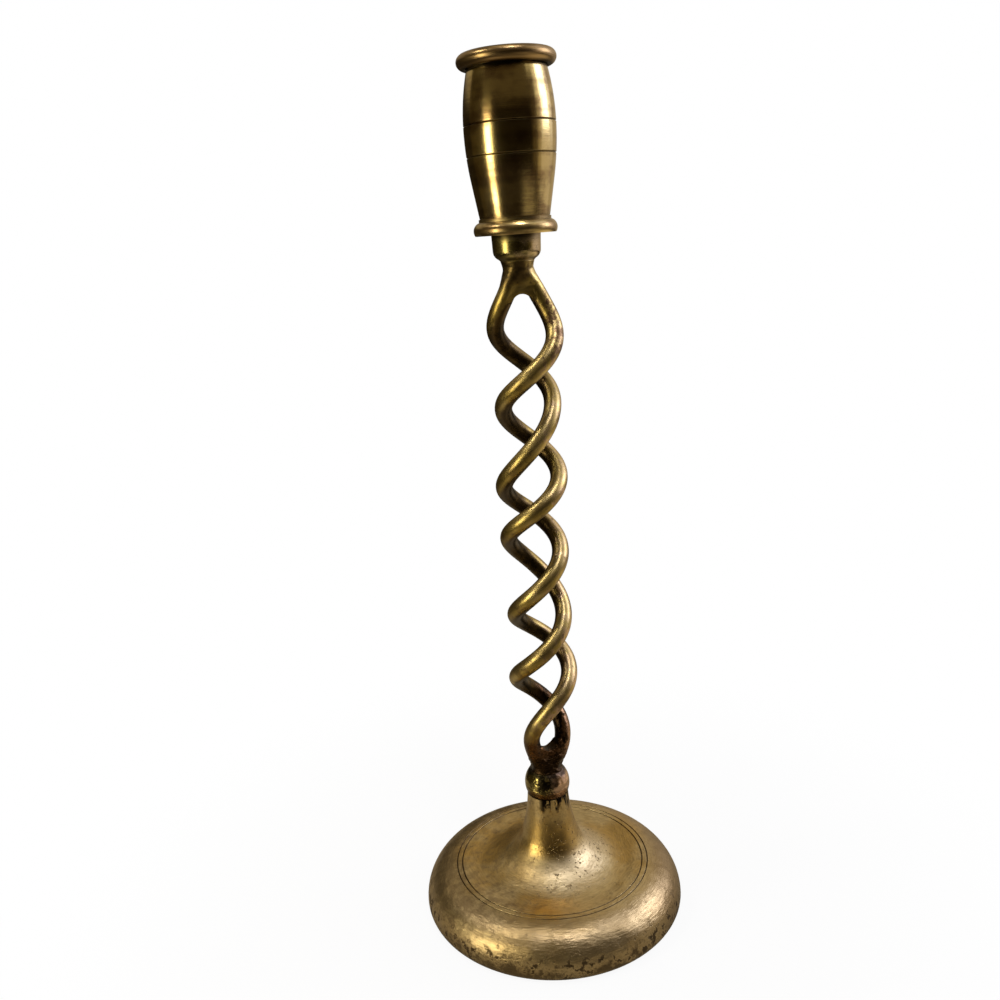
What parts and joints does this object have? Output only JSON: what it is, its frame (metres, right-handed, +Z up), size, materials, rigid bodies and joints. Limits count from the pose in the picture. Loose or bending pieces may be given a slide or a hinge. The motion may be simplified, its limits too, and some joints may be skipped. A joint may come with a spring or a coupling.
{
  "type": "candlestick",
  "caption": "Brass candlestick with a round weighted foot, an open twist of two rods and a barrel-shaped candle socket with a rolled rim.",
  "frame": {"origin": "centre of the foot's rest ring, on the table", "axes": "+Z up along the candlestick's axis, -Y towards the camera of the picture, +X to the picture's right"},
  "size_m": [0.0976, 0.0976, 0.305],
  "materials": {
    "foot_brass": "aged satin, brushed in circles",
    "socket_brass": "aged, polished",
    "rod_brass": "aged satin with copper tarnish",
    "braze": "rough, dark with flux and soot",
    "steel": "dull"
  },
  "bodies": {
    "stand": {"foot": "foot_brass", "lower_knop": "braze", "lower_crotch": "braze", "strand_a": "rod_brass", "strand_b": "rod_brass", "upper_crotch": "rod_brass", "upper_knop": "socket_brass", "socket_stud": "steel", "stem_stud": "steel", "foot_washer": "steel", "foot_nut": "steel"},
    "socket": {"candle_socket": "socket_brass"}
  },
  "joints": [
    {"name": "socket_lift", "type": "slide", "parent": "stand", "child": "socket", "axis": [0, 0, 1], "range_m": [0, 0.02]}
  ]
}
